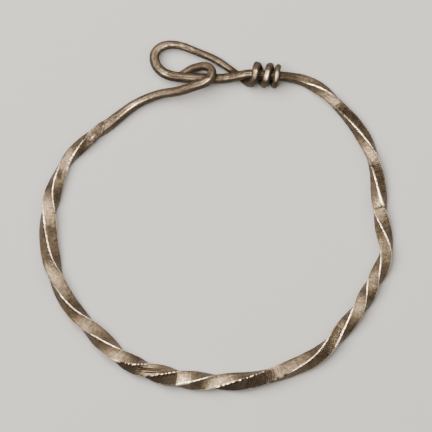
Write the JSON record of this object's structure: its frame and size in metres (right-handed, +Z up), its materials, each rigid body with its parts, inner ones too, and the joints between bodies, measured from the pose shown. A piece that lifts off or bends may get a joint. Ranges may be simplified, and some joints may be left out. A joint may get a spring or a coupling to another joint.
{
  "type": "viking bracelet",
  "caption": "Twisted silver rod bent into a round arm-ring, its hooked end caught in a wound wire eye.",
  "frame": {"origin": "under the middle of the ring, on the surface that it lies on", "axes": "+Z up out of the ring's plane, +Y towards the hook and eye, +X to the right as seen from above"},
  "size_m": [0.0796, 0.0788, 0.0066],
  "materials": {
    "tarnished_silver": "hammered and worn silver, warm grey tarnish with brown in the recesses and bright arrises"
  },
  "bodies": {
    "root": {"twisted_silver_rod": "tarnished_silver"}
  },
  "joints": []
}
